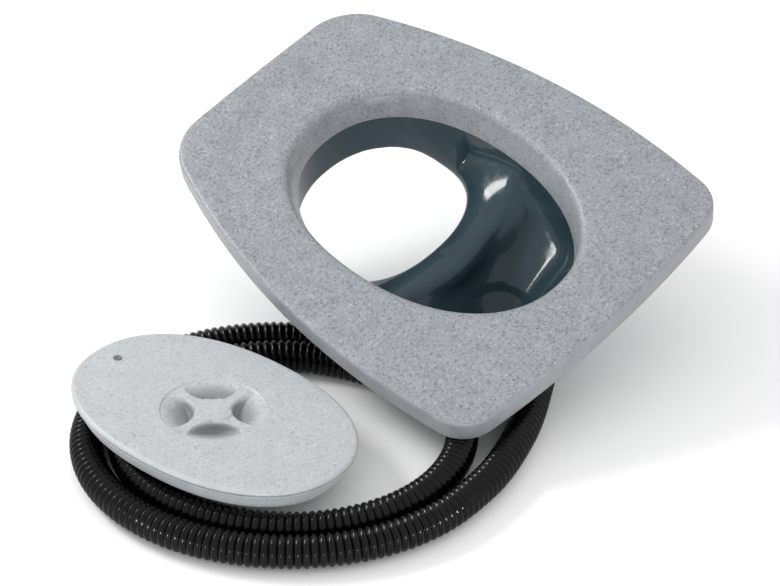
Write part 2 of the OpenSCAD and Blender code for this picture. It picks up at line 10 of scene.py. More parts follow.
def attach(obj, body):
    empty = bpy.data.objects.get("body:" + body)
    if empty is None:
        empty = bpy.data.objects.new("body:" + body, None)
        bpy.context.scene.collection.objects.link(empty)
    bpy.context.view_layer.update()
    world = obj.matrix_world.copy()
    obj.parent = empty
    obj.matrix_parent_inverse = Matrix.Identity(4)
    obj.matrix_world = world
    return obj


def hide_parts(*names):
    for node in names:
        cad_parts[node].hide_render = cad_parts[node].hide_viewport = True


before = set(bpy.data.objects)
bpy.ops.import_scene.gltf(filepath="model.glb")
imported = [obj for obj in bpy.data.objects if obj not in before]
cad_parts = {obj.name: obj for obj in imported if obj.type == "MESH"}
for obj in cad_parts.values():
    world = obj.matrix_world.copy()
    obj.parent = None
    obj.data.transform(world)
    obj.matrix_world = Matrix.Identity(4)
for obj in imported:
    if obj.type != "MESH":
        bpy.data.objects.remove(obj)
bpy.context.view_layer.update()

# Camera: in front of the set and to its left, 2.4 m away and 34 degrees above the floor, with a long
# lens. Its place was resected from the seat's edges, so the set lies in the view as it does in life.
VIEW_WIDTH = 780
FOCAL_PIXELS = 2500
SENSOR = 36
CAMERA_PLACE = (-1.3015, -1.4671, 1.3428)
CAMERA_BACKWARD = Vector((-0.57047, -0.61476, 0.54464))
camera_data = bpy.data.cameras.new("camera")
camera_data.sensor_width = SENSOR
camera_data.lens = FOCAL_PIXELS / VIEW_WIDTH * SENSOR
camera = bpy.data.objects.new("camera", camera_data)
bpy.context.scene.collection.objects.link(camera)
camera.location = CAMERA_PLACE
camera.rotation_euler = CAMERA_BACKWARD.to_track_quat("Z", "Y").to_euler()
bpy.context.scene.camera = camera

# Drain hose: about 1.95 m of ribbed hose, 24 mm inside, extruded in black polyethylene and formed into
# ribs while hot. One end is pushed on the elbow's barb, and the rest lies in two loops on the floor.
MM = 0.001
HOSE_RIB_RADIUS = 15 * MM
HOSE_VALLEY_RADIUS = 12.6 * MM
HOSE_BORE_RADIUS = 12 * MM
HOSE_RIB_PITCH = 6.85 * MM
RIB_POWER = 1.5
RINGS_PER_RIB = 8
HOSE_SIDES = 24
HOSE_EXIT = Vector((121.98, -148.31, 19.39)) * MM
HOSE_HEADING = Vector((-0.8135, -0.5807, -0.0320)).normalized()
HOSE_STRAIGHT = 30 * MM
HOSE_IN_ELBOW = 20 * MM
TAIL_ROUTE = [(64, -189.5, 16.8), (46, -201.5, 15.2), (28, -212.5, 15.2), (9, -222.5, 15.2),
              (-10, -231.5, 15.2), (-29, -239.5, 15.2), (-49, -246.3, 15.2), (-69, -250.8, 15.2)]
COIL_CENTRE = (-137.4, -72.8)
COIL_HEIGHT = 15.2
COIL_RADIUS = 181
COIL_GROWTH = 32.5
COIL_OVALNESS = 0.048
COIL_NARROW_ANGLE = 40.3
COIL_START = -75
COIL_END = -700
COIL_STEP = 2


def coil_point(angle):
    """A point of the coil at an angle round its centre: an oval spiral that winds inwards."""
    radius = COIL_RADIUS + COIL_GROWTH * (angle + 90) / 360
    radius *= 1 - COIL_OVALNESS * math.cos(math.radians(2 * (angle - COIL_NARROW_ANGLE)))
    turn = math.radians(angle)
    x, y = COIL_CENTRE[0] + radius * math.cos(turn), COIL_CENTRE[1] + radius * math.sin(turn)
    return Vector((x, y, COIL_HEIGHT)) * MM


def spline(points, steps):
    """A smooth curve through all the points but the first and last, which only give its ends a heading."""
    out = []
    for a, b, c, d in zip(points, points[1:], points[2:], points[3:]):
        for step in range(steps):
            t = step / steps
            out.append(0.5 * (2 * b + (c - a) * t + (2 * a - 5 * b + 4 * c - d) * t * t
                              + (3 * b - a - 3 * c + d) * t * t * t))
    return out + [points[-2]]


hose_knots = [HOSE_EXIT - HOSE_HEADING * HOSE_IN_ELBOW, HOSE_EXIT]
hose_knots += [HOSE_EXIT + HOSE_HEADING * HOSE_STRAIGHT] + [Vector(p) * MM for p in TAIL_ROUTE]
hose_knots += [coil_point(COIL_START), coil_point(COIL_START - 3 * COIL_STEP)]
hose_path = spline(hose_knots, steps=8)
hose_path += [coil_point(a) for a in range(COIL_START - COIL_STEP, COIL_END - 1, -COIL_STEP)]
last_heading = (coil_point(COIL_END - 0.5) - coil_point(COIL_END + 0.5)).normalized()
hose_path += [hose_path[-1] + last_heading * HOSE_STRAIGHT * k / 4 for k in (1, 2, 3, 4)]
hose_length = sum((b - a).length for a, b in zip(hose_path, hose_path[1:]))


def linear(code):
    """An sRGB colour such as #36444a as the four linear values that a shader takes."""
    values = [int(code[i:i + 2], 16) / 255 for i in (1, 3, 5)]
    return [v / 12.92 if v <= 0.04045 else ((v + 0.055) / 1.055) ** 2.4 for v in values] + [1.0]


def add_node(tree, kind, links=None, **settings):
    """Adds a node: settings are its own properties, links its inputs, each a value or a socket."""
    node = tree.nodes.new(kind)
    for key, value in settings.items():
        setattr(node, key, value)
    for key, value in (links or {}).items():
        if isinstance(value, bpy.types.NodeSocket):
            tree.links.new(value, node.inputs[key])
        else:
            node.inputs[key].default_value = value
    return node


def new_finish(name, colour, roughness, ior=1.5, metallic=0.0):
    """A material with its shader's constants set. Returns the material, its tree and the shader."""
    finish = bpy.data.materials.new(name)
    finish.use_nodes = True
    shader = finish.node_tree.nodes["Principled BSDF"]
    shader.inputs["Base Color"].default_value = linear(colour)
    shader.inputs["Roughness"].default_value = roughness
    shader.inputs["IOR"].default_value = ior
    shader.inputs["Metallic"].default_value = metallic
    return finish, finish.node_tree, shader


def colour_ramp(tree, factor, stops):
    """Colours along a factor: stops are pairs of a place and an sRGB colour."""
    node = add_node(tree, "ShaderNodeValToRGB", {"Fac": factor})
    ramp = node.color_ramp
    while len(ramp.elements) < len(stops):
        ramp.elements.new(0.5)
    for element, (place, colour) in zip(ramp.elements, stops):
        element.position = place
        element.color = linear(colour)
    return node.outputs["Color"]


# Extruded black polyethylene: a glossy skin with faint patches of dust, and a fine grain.
hose_finish, tree, shader = new_finish("extruded_black_polyethylene", "#050506", 0.16, 1.51)
shader.inputs["Specular IOR Level"].default_value = 0.18
place = add_node(tree, "ShaderNodeTexCoord").outputs["Object"]
dust = add_node(tree, "ShaderNodeTexNoise", {"Vector": place, "Scale": 1 / (22 * MM), "Detail": 4.0})
tree.links.new(colour_ramp(tree, dust.outputs["Fac"], [(0.35, "#040405"), (0.8, "#09090a")]),
               shader.inputs["Base Color"])
dull = add_node(tree, "ShaderNodeMapRange", {"Value": dust.outputs["Fac"], "From Min": 0.35,
                                             "From Max": 0.8, "To Min": 0.12, "To Max": 0.26})
tree.links.new(dull.outputs["Result"], shader.inputs["Roughness"])
grain = add_node(tree, "ShaderNodeTexNoise", {"Vector": place, "Scale": 1 / (1.6 * MM), "Detail": 2.0})
bump = add_node(tree, "ShaderNodeBump", {"Height": grain.outputs["Fac"], "Strength": 0.12,
                                         "Distance": 0.2 * MM})
tree.links.new(bump.outputs["Normal"], shader.inputs["Normal"])


def curve_from(name, points):
    """A poly curve object through points, for a node tree to follow."""
    data = bpy.data.curves.new(name, "CURVE")
    data.dimensions = "3D"
    line = data.splines.new("POLY")
    line.points.add(len(points) - 1)
    for point, p in zip(line.points, points):
        point.co = (*p, 1)
    route = bpy.data.objects.new(name, data)
    bpy.context.scene.collection.objects.link(route)
    return route


def tree_input(group, name, kind, value):
    """Adds a named input with a default value to a geometry tree and returns its identifier."""
    socket = group.interface.new_socket(name, in_out="INPUT", socket_type=kind)
    socket.default_value = value
    return socket.identifier


def applied(source, name):
    """The evaluated form of an object as a plain mesh object. The source goes with its modifiers."""
    depsgraph = bpy.context.evaluated_depsgraph_get()
    mesh = bpy.data.meshes.new_from_object(source.evaluated_get(depsgraph))
    data = source.data
    bpy.data.objects.remove(source)
    if isinstance(data, bpy.types.Curve):
        bpy.data.curves.remove(data)
    mesh.name = name
    made = bpy.data.objects.new(name, mesh)
    bpy.context.scene.collection.objects.link(made)
    return made


def math_node(group, operation, a, b=0.0):
    """The result of a sum on one or two values or sockets."""
    return add_node(group, "ShaderNodeMath", {0: a, 1: b}, operation=operation).outputs[0]


# The hose's tree: rings square to the route, each scaled by where it falls in its rib, and a plain bore.
ribs = 2 * round(hose_length / HOSE_RIB_PITCH / 2)
group = bpy.data.node_groups.new("ribbed_hose", "GeometryNodeTree")
group.interface.new_socket("Route", in_out="INPUT", socket_type="NodeSocketGeometry")
rib_radius = tree_input(group, "Rib radius", "NodeSocketFloat", HOSE_RIB_RADIUS)
valley_radius = tree_input(group, "Valley radius", "NodeSocketFloat", HOSE_VALLEY_RADIUS)
bore_radius = tree_input(group, "Bore radius", "NodeSocketFloat", HOSE_BORE_RADIUS)
rib_count = tree_input(group, "Ribs", "NodeSocketInt", ribs)
group.interface.new_socket("Hose", in_out="OUTPUT", socket_type="NodeSocketGeometry")
given = group.nodes.new("NodeGroupInput").outputs
profile = add_node(group, "GeometryNodeCurvePrimitiveCircle", {"Resolution": HOSE_SIDES, "Radius": 1.0})
outer_rings = math_node(group, "ADD", math_node(group, "MULTIPLY", given["Ribs"], RINGS_PER_RIB), 1.0)
outer_line = add_node(group, "GeometryNodeResampleCurve",
                      {"Curve": given["Route"], "Count": outer_rings}, mode="COUNT")
in_rib = math_node(group, "FRACT", math_node(group, "DIVIDE",
                   add_node(group, "GeometryNodeInputIndex").outputs[0], RINGS_PER_RIB))
from_crest = math_node(group, "ABSOLUTE", math_node(group, "SUBTRACT",
                       math_node(group, "MULTIPLY", in_rib, 2.0), 1.0))
rise = math_node(group, "SUBTRACT", 1.0, math_node(group, "POWER", from_crest, RIB_POWER))
ring_radius = math_node(group, "ADD", given["Valley radius"], math_node(group, "MULTIPLY", rise,
                        math_node(group, "SUBTRACT", given["Rib radius"], given["Valley radius"])))
outside = add_node(group, "GeometryNodeCurveToMesh",
                   {"Curve": outer_line.outputs[0], "Profile Curve": profile.outputs["Curve"],
                    "Scale": ring_radius})
bore_rings = math_node(group, "ADD", given["Ribs"], 1.0)
bore_line = add_node(group, "GeometryNodeResampleCurve",
                     {"Curve": given["Route"], "Count": bore_rings}, mode="COUNT")
bore = add_node(group, "GeometryNodeCurveToMesh",
                {"Curve": bore_line.outputs[0], "Profile Curve": profile.outputs["Curve"],
                 "Scale": given["Bore radius"]})
bore = add_node(group, "GeometryNodeFlipFaces", {"Mesh": bore.outputs[0]})
both = add_node(group, "GeometryNodeJoinGeometry")
group.links.new(outside.outputs[0], both.inputs[0])
group.links.new(bore.outputs[0], both.inputs[0])
smooth = add_node(group, "GeometryNodeSetShadeSmooth", {"Geometry": both.outputs[0]})
real = add_node(group, "GeometryNodeRealizeInstances", {"Geometry": smooth.outputs[0]})
coated = add_node(group, "GeometryNodeSetMaterial", {"Geometry": real.outputs[0], "Material": hose_finish})
group.links.new(coated.outputs[0], group.nodes.new("NodeGroupOutput").inputs[0])

hose_route = curve_from("hose_route", hose_path)
follow = hose_route.modifiers.new("ribs", "NODES")
follow.node_group = group
follow[rib_radius] = HOSE_RIB_RADIUS
follow[valley_radius] = HOSE_VALLEY_RADIUS
follow[bore_radius] = HOSE_BORE_RADIUS
follow[rib_count] = ribs
drain_hose = applied(hose_route, "drain_hose")
wall_ends = bmesh.new()
wall_ends.from_mesh(drain_hose.data)
open_edges = [edge for edge in wall_ends.edges if edge.is_boundary]
for end in (hose_path[0], hose_path[-1]):
    rims = [edge for edge in open_edges if (edge.verts[0].co - end).length < 1.2 * HOSE_RIB_RADIUS]
    bmesh.ops.bridge_loops(wall_ends, edges=rims)
bmesh.ops.recalc_face_normals(wall_ends, faces=wall_ends.faces)
wall_ends.to_mesh(drain_hose.data)
wall_ends.free()
drain_hose.data.set_sharp_from_angle(angle=math.radians(60))
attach(drain_hose, "seat_set")
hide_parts("hose_tail", "hose_coil")

# Seat board: blow-moulded polyethylene with a granite look, mixed through the plastic as dark and light
# specks. It has a lip round its opening, a shallow dish at the rear, rounded edges and a raised land below.
SEAT_PLACE = Vector((101, -14.4, 140.004))
SEAT_TURN = Matrix.Rotation(math.radians(-17.27), 3, "Y") @ Matrix.Rotation(math.radians(10.98), 3, "X")
SEAT_THICKNESS = 26.8
SEAT_LENGTH = 450
SEAT_FRONT_Y = -207.8
SEAT_FRONT_WIDTH = 349
SEAT_REAR_WIDTH = 235
SIDE_BULGES = [13, 34, 2, 34]
CORNER_TRIMS = [27, 27, 35, 35]
CORNER_FULLNESS = 0.75
OPENING_LENGTH = 310
OPENING_WIDTH = 217
OPENING_POWER = 2.15
OPENING_EGG = 0.03
LAND_HEIGHT = 1.2
LAND_FACE = -SEAT_THICKNESS - LAND_HEIGHT
DISH_DEPTH = 3.2
DISH_FRONT_Y = 10
DISH_RUN = 190
DISH_CENTRE_Y = 65
DISH_EDGE = (138, 166)
PLUG_Y = 203
PLUG_RIM_RADIUS = 8.1
PLUG_SECTORS = 48
SEAT_SECTORS = 400


def bulged_side(p, q, bulge, trim_p, trim_q, count=60):
    """Points of one side of the seat, a shallow arc from p to q that is trimmed at both ends."""
    p, q = np.array(p, float), np.array(q, float)
    along = q - p
    reach = np.linalg.norm(along)
    t = np.linspace(trim_p / reach, 1 - trim_q / reach, count)[:, None]
    out = np.array([along[1], -along[0]]) / reach
    return p + along * t + out * bulge * 4 * t * (1 - t)


def rounded_corner(a, corner, b, count=40):
    """Points of a corner, a conic between the ends of two sides."""
    t = np.linspace(0, 1, count)[1:-1, None]
    u = 2 * CORNER_FULLNESS * t * (1 - t)
    return ((1 - t) ** 2 * a + u * np.array(corner, float) + t * t * b) / ((1 - t) ** 2 + u + t * t)


def seat_outline(inset):
    """The seat's outline in its own plane, drawn in by inset millimetres, from its front side round."""
    front, rear = SEAT_FRONT_WIDTH / 2 - inset, SEAT_REAR_WIDTH / 2 - inset
    front_y, rear_y = SEAT_FRONT_Y + inset, SEAT_FRONT_Y + SEAT_LENGTH - inset
    corners = [(-front, front_y), (front, front_y), (rear, rear_y), (-rear, rear_y)]
    next_corners = corners[1:] + corners[:1]
    next_trims = CORNER_TRIMS[1:] + CORNER_TRIMS[:1]
    spans = zip(corners, next_corners, SIDE_BULGES, CORNER_TRIMS, next_trims)
    sides = [bulged_side(*span) for span in spans]
    rows = []
    for side, corner, next_side in zip(sides, next_corners, sides[1:] + sides[:1]):
        rows += [side, rounded_corner(side[-1], corner, next_side[0])]
    return np.concatenate(rows)


def oval(half_length, half_width, power, egg=0.0, count=1440):
    """A superellipse, longer along y, and wider towards the rear by egg."""
    t = np.linspace(0, 2 * np.pi, count, endpoint=False)
    c, s = np.cos(t), np.sin(t)
    y = half_length * np.sign(s) * np.abs(s) ** (2 / power)
    x = half_width * np.sign(c) * np.abs(c) ** (2 / power) * (1 + egg * y / half_length)
    return np.stack([x, y], 1)


def opening_outline(grow):
    """The opening's outline, let out by grow millimetres."""
    return oval(OPENING_LENGTH / 2 + grow, OPENING_WIDTH / 2 + grow, OPENING_POWER, OPENING_EGG)


def ray_radii(outline, angles):
    """How far a closed outline lies from zero in each direction."""
    turn = np.arctan2(outline[:, 1], outline[:, 0])
    order = np.argsort(turn)
    return np.interp(angles, turn[order], np.hypot(*outline[order].T), period=2 * np.pi)


def smooth_step(low, high, value):
    """Goes from 0 at low to 1 at high, with an even start and end."""
    t = np.clip((value - low) / (high - low), 0, 1)
    return t * t * (3 - 2 * t)


def dish(x, y):
    """Depth of the dish: it starts beside the opening and is deepest along an arc at the rear."""
    along = np.clip((y - DISH_FRONT_Y) / DISH_RUN, 0, 1)
    return DISH_DEPTH * along * (1 - smooth_step(*DISH_EDGE, np.hypot(x, y - DISH_CENTRE_Y)))


def ring_object(name, rings, turn, place, finish, values=None, closed=True):
    """A mesh of quads between rings of points in millimetres, put in place in metres. Each ring may have
    its own share of specks in values. When closed, the last ring is joined to the first."""
    count, sectors = len(rings), len(rings[0])
    points = np.concatenate(rings) @ np.array(turn).T + np.array(place)
    k = np.arange(sectors)
    faces = []
    for i in range(count if closed else count - 1):
        a, b = i * sectors, (i + 1) % count * sectors
        faces.append(np.stack([a + k, a + (k + 1) % sectors, b + (k + 1) % sectors, b + k], 1))
    mesh = bpy.data.meshes.new(name)
    mesh.from_pydata((points * MM).tolist(), [], np.concatenate(faces).tolist())
    if values is not None:
        speckle = mesh.attributes.new("speckle", "FLOAT", "POINT")
        speckle.data.foreach_set("value", np.repeat(values, sectors))
    shell = bmesh.new()
    shell.from_mesh(mesh)
    bmesh.ops.remove_doubles(shell, verts=shell.verts, dist=1e-6)
    bmesh.ops.recalc_face_normals(shell, faces=shell.faces)
    shell.to_mesh(mesh)
    shell.free()
    mesh.shade_smooth()
    mesh.set_sharp_from_angle(angle=math.radians(50))
    mesh.materials.append(finish)
    made = bpy.data.objects.new(name, mesh)
    bpy.context.scene.collection.objects.link(made)
    return made


def granite_finish(name, base, dark, light, mottle, sparse=0.0):
    """Granite-look moulded polyethylene: a satin grey with specks of 1 to 2 mm, dark and light, and
    wide soft mottling. Where the attribute speckle is low, as on the drawn side walls, it is plainer.
    Painted shade darkens it towards the dark speck colour where an attribute asks for it, as in the lid's
    finger hollows. A higher value of sparse leaves fewer dark specks."""
    finish, tree, shader = new_finish(name, base, 0.42, 1.5)
    place = add_node(tree, "ShaderNodeTexCoord").outputs["Object"]
    amount = add_node(tree, "ShaderNodeAttribute", attribute_name="speckle").outputs["Fac"]
    cloud = add_node(tree, "ShaderNodeTexNoise", {"Vector": place, "Scale": 1 / (16 * MM), "Detail": 3.0})
    tone = colour_ramp(tree, cloud.outputs["Fac"], [(0.3, mottle), (0.7, base)])
    for size, seed, dark_edge, dark_most, light_edge, light_most in (
            (3.4 * MM, 0.0, 0.42, 0.45, 0.60, 0.30), (2.1 * MM, 0.37, 0.40, 0.70, 0.63, 0.45)):
        moved = add_node(tree, "ShaderNodeVectorMath", {0: place, 1: (seed, seed, seed)}, operation="ADD")
        fleck = add_node(tree, "ShaderNodeTexNoise",
                         {"Vector": moved.outputs[0], "Scale": 1 / size, "Detail": 1.0, "Roughness": 0.5})
        low = add_node(tree, "ShaderNodeMapRange",
                       {"Value": fleck.outputs["Fac"], "From Min": dark_edge - sparse,
                        "From Max": dark_edge - sparse - 0.11, "To Min": 0.0, "To Max": dark_most})
        high = add_node(tree, "ShaderNodeMapRange",
                        {"Value": fleck.outputs["Fac"], "From Min": light_edge,
                         "From Max": light_edge + 0.13, "To Min": 0.0, "To Max": light_most})
        for part, colour in ((low, dark), (high, light)):
            share = math_node(tree, "MULTIPLY", part.outputs["Result"], amount)
            mix = add_node(tree, "ShaderNodeMix", {"Factor": share, 6: tone, 7: linear(colour)},
                           data_type="RGBA")
            tone = mix.outputs[2]
    # Painted shade: the lid's finger hollows, darkest near the hub, are mixed towards the dark speck
    # colour.
    painted_hollow_shade = add_node(tree, "ShaderNodeAttribute", attribute_name="painted_hollow_shade").outputs["Fac"]
    darker = math_node(tree, "MULTIPLY", painted_hollow_shade, 0.72)
    shaded = add_node(tree, "ShaderNodeMix", {"Factor": darker, 6: tone, 7: linear(dark)}, data_type="RGBA")
    tree.links.new(shaded.outputs[2], shader.inputs["Base Color"])
    rough = add_node(tree, "ShaderNodeMapRange", {"Value": cloud.outputs["Fac"], "From Min": 0.3,
                                                  "From Max": 0.7, "To Min": 0.36, "To Max": 0.5})
    tree.links.new(rough.outputs["Result"], shader.inputs["Roughness"])
    skin = add_node(tree, "ShaderNodeTexNoise", {"Vector": place, "Scale": 1 / (1.2 * MM), "Detail": 2.0})
    bump = add_node(tree, "ShaderNodeBump", {"Height": skin.outputs["Fac"], "Strength": 0.15,
                                             "Distance": 0.2 * MM})
    tree.links.new(bump.outputs["Normal"], shader.inputs["Normal"])
    return finish


seat_finish = granite_finish("granite_look_polyethylene_grey", "#8e9195", "#50545a", "#bbbec2", "#83868a")
angles = np.linspace(-np.pi, np.pi, SEAT_SECTORS, endpoint=False)
rays = np.stack([np.cos(angles), np.sin(angles)], 1)


def seat_ring(radii, z, sink=True):
    """One ring of the seat. On the top face, sink lowers its points into the dish."""
    flat = rays * radii[:, None]
    height = np.full(len(angles), float(z))
    if sink:
        height -= dish(flat[:, 0], flat[:, 1])
    return np.column_stack([flat, height])


# The seat's section, from the lip's foot up over its rolled rim, out over the top face, down the outer
# edge and back below: growth of the opening or inset of the outline, height, and share of specks.
LIP_PROFILE = [(-6, -34.2), (-5.9, -33), (-3, -20), (-0.6, -10.5), (0, -8), (0.5, -6.2), (1.3, -4.6),
               (2.5, -3.1), (4.2, -1.9), (6.2, -1.0), (8.6, -0.4), (12, 0)]
LIP_WALL_TOP = -9
SPECKLED_ABOVE = -4
TOP_FACE_RINGS = 33
TOP_FACE_INSET = 4.4
EDGE_PROFILE = [(3.2, -0.12, 1), (2.2, -0.45, 0.9), (1.2, -1.1, 0.6), (0.5, -2.1, 0.35), (0.1, -3.4, 0.25),
                (0, -5, 0.2), (0, -13, 0.2), (0, -20.5, 0.2), (0.2, -22.2, 0.2), (0.8, -23.9, 0.2),
                (1.8, -25.5, 0.3), (3.2, -26.6, 0.4), (4.5, -SEAT_THICKNESS, 0.5),
                (15.9, -SEAT_THICKNESS, 0.6), (16, LAND_FACE, 0.6)]
UNDER_PROFILE = [(25, LAND_FACE), (25, -SEAT_THICKNESS), (-1, -SEAT_THICKNESS), (-1, -34.2),
                 (-1.6, -34.9), (-3.5, -35), (-5.4, -34.9)]
seat_rings, seat_speckle = [], []
for grow, z in LIP_PROFILE:
    seat_rings.append(seat_ring(ray_radii(opening_outline(grow), angles), z, sink=z > LIP_WALL_TOP))
    seat_speckle.append(1.0 if z > SPECKLED_ABOVE else 0.7)
inner_radii = ray_radii(opening_outline(LIP_PROFILE[-1][0]), angles)
edge_radii = ray_radii(seat_outline(TOP_FACE_INSET), angles)
for t in np.linspace(0, 1, TOP_FACE_RINGS + 1)[1:]:
    seat_rings.append(seat_ring(inner_radii + (edge_radii - inner_radii) * t, 0))
    seat_speckle.append(1.0)
for inset, z, share in EDGE_PROFILE:
    seat_rings.append(seat_ring(ray_radii(seat_outline(inset), angles), z, sink=False))
    seat_speckle.append(share)
for grow, z in UNDER_PROFILE:
    seat_rings.append(seat_ring(ray_radii(opening_outline(grow), angles), z, sink=False))
    seat_speckle.append(0.6)
seat_top = ring_object("seat_top_board", seat_rings, SEAT_TURN, SEAT_PLACE, seat_finish, seat_speckle)
turns = np.linspace(0, 2 * np.pi, PLUG_SECTORS, endpoint=False)
disc = np.stack([PLUG_RIM_RADIUS * np.cos(turns), PLUG_Y + PLUG_RIM_RADIUS * np.sin(turns)], 1)
hub = np.tile([0, PLUG_Y], (PLUG_SECTORS, 1)) + 0.001 * disc
cutter_foot = -SEAT_THICKNESS - 2 * LAND_HEIGHT
cutter_rings = [np.column_stack([flat, np.full(PLUG_SECTORS, z)]) for flat, z in
                ((hub, -SEAT_THICKNESS), (disc, -SEAT_THICKNESS), (disc, cutter_foot), (hub, cutter_foot))]
cutter = ring_object("counterbore", cutter_rings, SEAT_TURN, SEAT_PLACE, seat_finish)
counterbore = seat_top.modifiers.new("counterbore", "BOOLEAN")
counterbore.object = cutter
counterbore.operation = "DIFFERENCE"
counterbore.solver = "EXACT"
seat_top = applied(seat_top, "seat_top_board")
bpy.data.objects.remove(cutter)
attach(seat_top, "seat_set")
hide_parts("seat_board")

# Vent plug of the seat board: a small grey polypropylene cap pressed in the moulding hole underneath.
# The elbow at the separator's outlet is moulded in the same polypropylene, matt and faintly worn.
plug_finish, tree, shader = new_finish("moulded_grey_polypropylene", "#4a4c4e", 0.45, 1.49)
place = add_node(tree, "ShaderNodeTexCoord").outputs["Object"]
wear = add_node(tree, "ShaderNodeTexNoise", {"Vector": place, "Scale": 1 / (6 * MM), "Detail": 5.0})
tree.links.new(colour_ramp(tree, wear.outputs["Fac"], [(0.3, "#424446"), (0.7, "#54575a")]),
               shader.inputs["Base Color"])
bump = add_node(tree, "ShaderNodeBump", {"Height": wear.outputs["Fac"], "Strength": 0.1,
                                         "Distance": 0.3 * MM})
tree.links.new(bump.outputs["Normal"], shader.inputs["Normal"])


def coat(finish, *nodes):
    """Gives CAD pieces their finish."""
    for name in nodes:
        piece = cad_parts[name]
        for i in range(len(piece.material_slots)):
            piece.material_slots[i].material = finish


coat(plug_finish, "seat_vent_plug", "elbow")

# Separator: one injection moulding in glossy slate plastic, screwed under the seat. Its rear funnel leads
# to the drop hole, a rounded partition stands across it, and a bowl in front drains to the spigot. All is
# in the seat's own millimetres: levels and feet lie below its top face, and the partition is an arc.
WALL = 2.4
FLANGE_THICKNESS = 2.5
FLANGE_REACH = 24
SCREW_COUNT = 8
SCREW_OVAL = (119.5, 166)
SCREW_HOLE_RADIUS = 2.3
SCREW_HOLE_FOOT = -40
PARTITION_CENTRE_Y = 203.0
PARTITION_FRONT = 240.0
PARTITION_REAR = 239.0
CREST_LEVEL = -80
CREST_RISE = 19
CREST_END_X = 106
HOLE_Y = 84.0
HOLE_LENGTH = 154
HOLE_WIDTH = 171
HOLE_POWER = 2.3
HOLE_EGG = -0.08
HOLE_LEVEL = -88.0
HOLE_REAR_RISE = 10.0
HOLE_RISE_SPAN = (60, 160)
SKIRT_LEVEL = -96
SKIRT_REACH = 9
PANEL_FOOT = -51
PANEL_FALL = 0.30
REAR_FOOT = -46
REAR_FOOT_SPAN = (53, 62)
BOWL_Y = -76.0
BOWL_LEVEL = -96.2
BOWL_RADIUS = 33.6
BOWL_FLOOR = 27.0
BOWL_FOOT = -44
BOWL_SIDE_DROP = 34
SPIGOT_Z = -100
SPIGOT_RADIUS = 11
SPIGOT_BORE_RADIUS = 8
SPIGOT_END_Y = -136
SPIGOT_ROOT_Y = -80
SPIGOT_BORE_ROOT_Y = -90
WALL_GAP = 1.2
LEAST_GAP = 0.6
SPACES_OVERLAP = 1.5
BOTTOM_ROUNDING = 12
SHOULDER_ROUNDING = 14
BOWL_SIDE_ROUNDING = 16
REAR_FACE_ROUNDING = 2
HOLE_EDGE_ROUNDING = 3
CREST_ROUNDING = 13
SIDE_ROUNDING = 4
VOXEL = 1.7
GRID_CORNER = np.array([-136.0, -182.4, -135.2])
GRID_STEPS = [161, 216, 66]
GRID_BAND = 3.0
POLISH_PASSES = 3
POLISH_PROBE = 0.05
POLISH_REACH = 0.6


def oval_distance(x, y, half_length, half_width, power, egg):
    """Distance from a superellipse to first order, negative inside."""
    wide = half_width * (1 + egg * y / half_length)
    u, v = np.abs(x) / wide + 1e-4, np.abs(y) / half_length + 1e-4
    f = (u ** power + v ** power) ** (1 / power)
    slope = np.hypot(u ** (power - 1) / wide, v ** (power - 1) / half_length) * f ** (1 - power)
    return (f - 1) / slope


def opening_distance(x, y):
    """Distance from the seat's opening, negative inside."""
    return oval_distance(x, y, OPENING_LENGTH / 2, OPENING_WIDTH / 2, OPENING_POWER, OPENING_EGG)


def hole_distance(x, y):
    """Distance from the drop hole, negative inside."""
    return oval_distance(x, y - HOLE_Y, HOLE_LENGTH / 2, HOLE_WIDTH / 2, HOLE_POWER, HOLE_EGG)


def smooth_least(a, b, k):
    """The smaller of two values, with their crease rounded where they differ by less than k."""
    h = np.clip(0.5 + 0.5 * (b - a) / k, 0, 1)
    return b + (a - b) * h - k * h * (1 - h)


def smooth_most(a, b, k):
    """The larger of two values, with their crease rounded where they differ by less than k."""
    return -smooth_least(-a, -b, k)


def crest_height(x):
    """The partition's crest, which has risen by CREST_RISE at 100 mm from the middle."""
    return CREST_LEVEL + CREST_RISE * (np.minimum(np.abs(x), CREST_END_X) / 100) ** 4


def rim_rise(y):
    """How far the drop hole's rim has risen on its way to the rear."""
    return HOLE_REAR_RISE * smooth_step(*HOLE_RISE_SPAN, y)


def rear_height(x, y):
    """The funnel's floor: between the hole's rim, the outer wall's foot and the partition's crest."""
    from_hole = np.maximum(hole_distance(x, y), 0) + WALL_GAP
    from_wall = np.maximum(-opening_distance(x, y), 0) + WALL_GAP
    radius = np.hypot(x, y - PARTITION_CENTRE_Y)
    from_crest = np.maximum(PARTITION_REAR - radius, 0) + LEAST_GAP
    panel_foot = PANEL_FOOT - PANEL_FALL * (y + 10)
    foot = panel_foot + (REAR_FOOT - panel_foot) * smooth_step(*REAR_FOOT_SPAN, y)
    weights = 1 / from_hole, 1 / from_wall, 1 / from_crest
    rim = HOLE_LEVEL + rim_rise(y)
    return (rim * weights[0] + foot * weights[1] + crest_height(x) * weights[2]) / sum(weights)


def bowl_height(x, y):
    """The bowl's floor: a round bottom, and slopes that rise to the wall's foot, deepest at the sides."""
    from_middle = np.hypot(x, y - BOWL_Y)
    from_wall = np.maximum(-opening_distance(x, y), LEAST_GAP)
    bearing = np.degrees(np.arctan2(y - BOWL_Y, np.abs(x) + 1e-6))
    beside = smooth_step(-60, -5, bearing) * (1 - smooth_step(16, 44, bearing))
    foot = BOWL_FOOT - BOWL_SIDE_DROP * beside
    outside = np.maximum(from_middle - BOWL_FLOOR, LEAST_GAP)
    rim = BOWL_LEVEL - math.sqrt(BOWL_RADIUS ** 2 - BOWL_FLOOR ** 2)
    slope = (rim / outside + foot / from_wall) / (1 / outside + 1 / from_wall)
    inner = np.minimum(from_middle, 0.97 * BOWL_RADIUS)
    bottom = BOWL_LEVEL - np.sqrt(BOWL_RADIUS ** 2 - inner ** 2) + 4 * (from_middle - inner)
    return smooth_least(slope, bottom, BOTTOM_ROUNDING)


